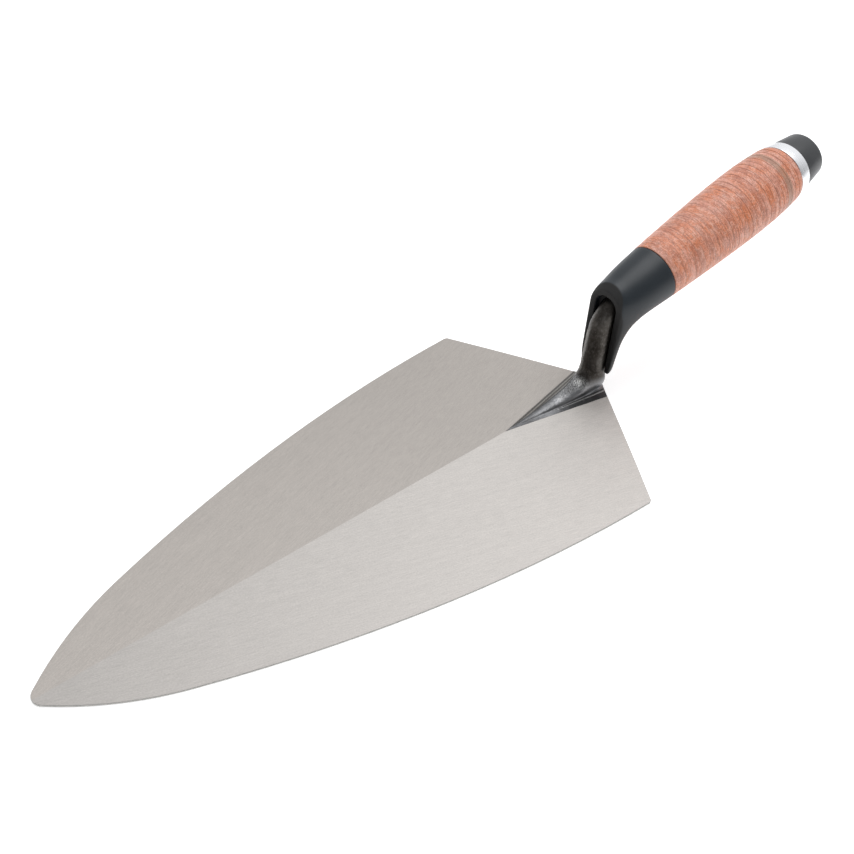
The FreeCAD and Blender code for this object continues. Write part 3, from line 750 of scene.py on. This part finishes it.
def butt_cap():
    """The cap, with its spigot inside the ring and a hollow for the nut."""
    spigot_start, end, spigot, _ = rims("butt_cap")
    _, cap_start, _, _ = rims("butt_ring")
    base = 13.0 * MM
    crown = 10.9 * MM
    cavity = 8.2 * MM
    cavity_end = end - 4.0 * MM
    corners = [
        (0, cavity_end, 0),
        (cavity, cavity_end, 0.5 * MM),
        (cavity, spigot_start, 0),
        (spigot, spigot_start, 0.2 * MM),
        (spigot, cap_start, 0),
        (base, cap_start, 0.3 * MM),
        (crown, end, 1.6 * MM),
        (0, end, 0),
    ]
    cap = turned("moulded_cap", corners, cap_plastic())
    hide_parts("butt_cap")


def hidden_fastening():
    """The CAD's own washer and nut, zinc plated."""
    zinc = plated_steel()
    for name in ("pressure_washer", "tang_nut"):
        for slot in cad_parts[name].material_slots:
            slot.link = "OBJECT"
            slot.material = zinc


# ---------------------------------------------------------------- stage


def white_floor():
    bm = bmesh.new()
    bmesh.ops.create_grid(bm, x_segments=1, y_segments=1, size=4)
    bmesh.ops.translate(bm, verts=bm.verts, vec=(0, 0, -0.05 * MM))
    mesh = bpy.data.meshes.new("floor")
    bm.to_mesh(mesh)
    bm.free()
    floor = bpy.data.objects.new("floor", mesh)
    bpy.context.scene.collection.objects.link(floor)
    white, tree, shader = new_material(
        "floor_white", roughness=0.9, emission_color=(1, 1, 1, 1), emission_strength=0.46
    )
    fine = clouds(tree, stretched(tree, (0.4,) * 3), 1.0)
    drive(tree, shader, base_color=graded(tree, fine, [(0.0, 0.9), (1.0, 0.93)]))
    mesh.materials.append(white)


def studio_world():
    """A wide soft glow high behind the trowel, over a dim room."""
    world = bpy.data.worlds.new("studio")
    world.use_nodes = True
    tree = world.node_tree
    direction = node(tree, "ShaderNodeTexCoord", {}).outputs["Generated"]
    glow = Vector((0.7, 0.32, 0.65)).normalized()
    facing = node(tree, "ShaderNodeVectorMath", {0: direction, 1: glow}, operation="DOT_PRODUCT")
    towards = {"Value": facing.outputs["Value"], "From Min": 0.1, "From Max": 1.0}
    dim_to_full = {"To Min": 0.2, "To Max": 1.0}
    glowing = node(
        tree, "ShaderNodeMapRange", {**towards, **dim_to_full}, interpolation_type="SMOOTHSTEP"
    ).outputs[0]
    background = tree.nodes["Background"]
    background.inputs["Color"].default_value = (0.97, 0.98, 1.0, 1)
    tree.links.new(glowing, background.inputs["Strength"])
    bpy.context.scene.world = world


def overhead_light():
    """A large soft light above the handle, turned to the origin, under the middle of the trowel."""
    data = bpy.data.lights.new("overhead", "AREA")
    data.shape = "RECTANGLE"
    data.size = 1.2
    data.size_y = 1.2
    data.energy = 13
    light = bpy.data.objects.new("overhead", data)
    light.location = (0.3, 0.1, 1.5)
    light.rotation_euler = (-light.location).to_track_quat("-Z", "Y").to_euler()
    bpy.context.scene.collection.objects.link(light)


def studio_camera():
    """Looks down at the trowel from ahead of the toe and to its right, slightly rolled."""
    place_at = (-0.2229, -0.2173, 0.3107)
    heading = math.radians(48.32)
    descent = math.radians(43.84)
    roll = math.radians(3.55)
    data = bpy.data.cameras.new("camera")
    data.lens = 42.64
    data.sensor_width = 36
    data.clip_start = 0.01
    camera = bpy.data.objects.new("camera", data)
    turn = Matrix.Rotation(heading - math.pi / 2, 4, "Z")
    tilt = Matrix.Rotation(math.pi / 2 - descent, 4, "X")
    bank = Matrix.Rotation(roll, 4, "Z")
    camera.matrix_world = Matrix.Translation(place_at) @ turn @ tilt @ bank
    bpy.context.scene.collection.objects.link(camera)
    bpy.context.scene.camera = camera


# ---------------------------------------------------------------- the trowel

skin = forged_skin()
blade()
root_and_shank(skin)
tang(skin)
guard()
grip()
butt_ring()
butt_cap()
hidden_fastening()
white_floor()
studio_world()
overhead_light()
studio_camera()
bpy.context.scene.view_settings.view_transform = "Standard"
